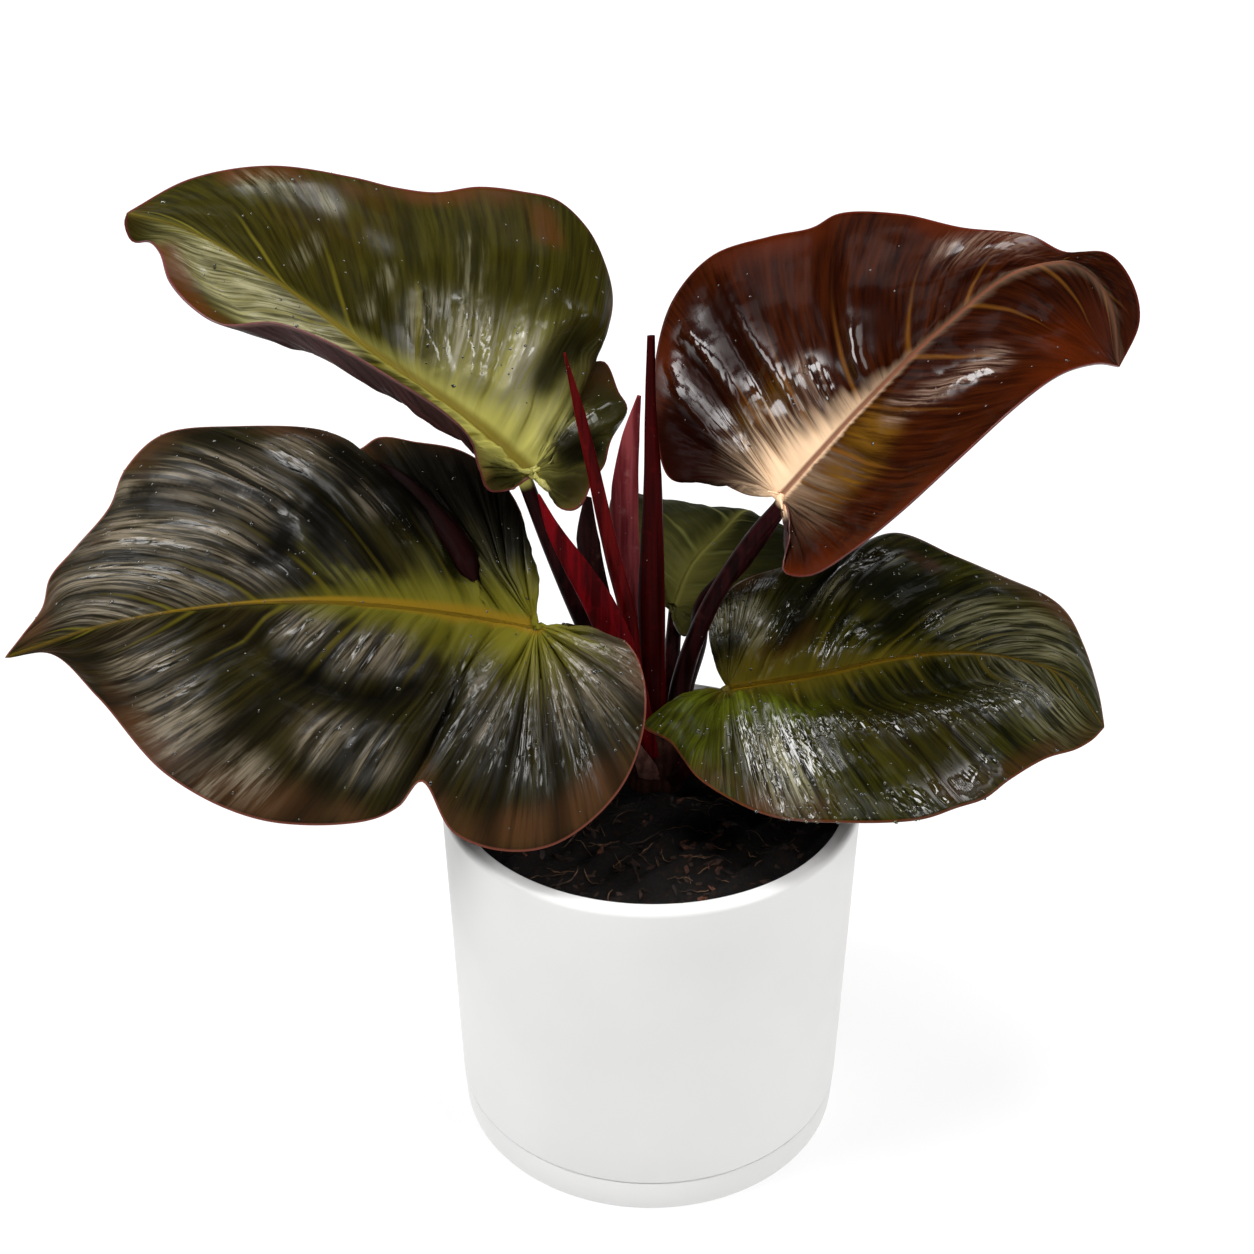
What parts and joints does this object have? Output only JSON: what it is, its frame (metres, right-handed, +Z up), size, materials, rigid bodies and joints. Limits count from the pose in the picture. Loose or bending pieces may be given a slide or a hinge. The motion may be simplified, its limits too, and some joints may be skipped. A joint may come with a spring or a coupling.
{
  "type": "potted red heart philodendron",
  "caption": "Young philodendron with heart-shaped bronze and green leaves on red stalks, red rolled new leaves and a plain white round pot with a flush saucer.",
  "frame": {"origin": "on the surface the saucer stands on, on the pot's axis", "axes": "+Z up, -Y towards the side of the plant seen in its portrait, +X to that view's right"},
  "size_m": [0.421, 0.2483, 0.3792],
  "materials": {
    "white_glaze": "satin",
    "potting_mix": "matte",
    "stem_skin": "satin",
    "red_spear": "satin",
    "crimson_skin": "satin",
    "rose_skin": "satin",
    "withered_skin": "satin",
    "red_stalk": "satin",
    "bronze_green_blade": "gloss",
    "olive_blade": "gloss",
    "copper_blade": "gloss",
    "green_blade": "gloss",
    "pale_green_blade": "satin"
  },
  "bodies": {
    "root": {"saucer": "white_glaze", "pot": "white_glaze", "soil": "potting_mix", "stem": "stem_skin", "tall_spear": "red_spear", "thin_spear": "red_spear", "crimson_sheath": "crimson_skin", "velvet_sheath": "rose_skin", "old_sheath": "withered_skin", "bract": "withered_skin", "petiole_low_left": "red_stalk", "blade_low_left": "bronze_green_blade", "petiole_high_left": "red_stalk", "blade_high_left": "olive_blade", "petiole_high_right": "red_stalk", "blade_high_right": "copper_blade", "petiole_low_right": "red_stalk", "blade_low_right": "green_blade", "petiole_back": "red_stalk", "blade_back": "pale_green_blade", "petiole_behind": "red_stalk", "blade_behind": "copper_blade"}
  },
  "joints": []
}
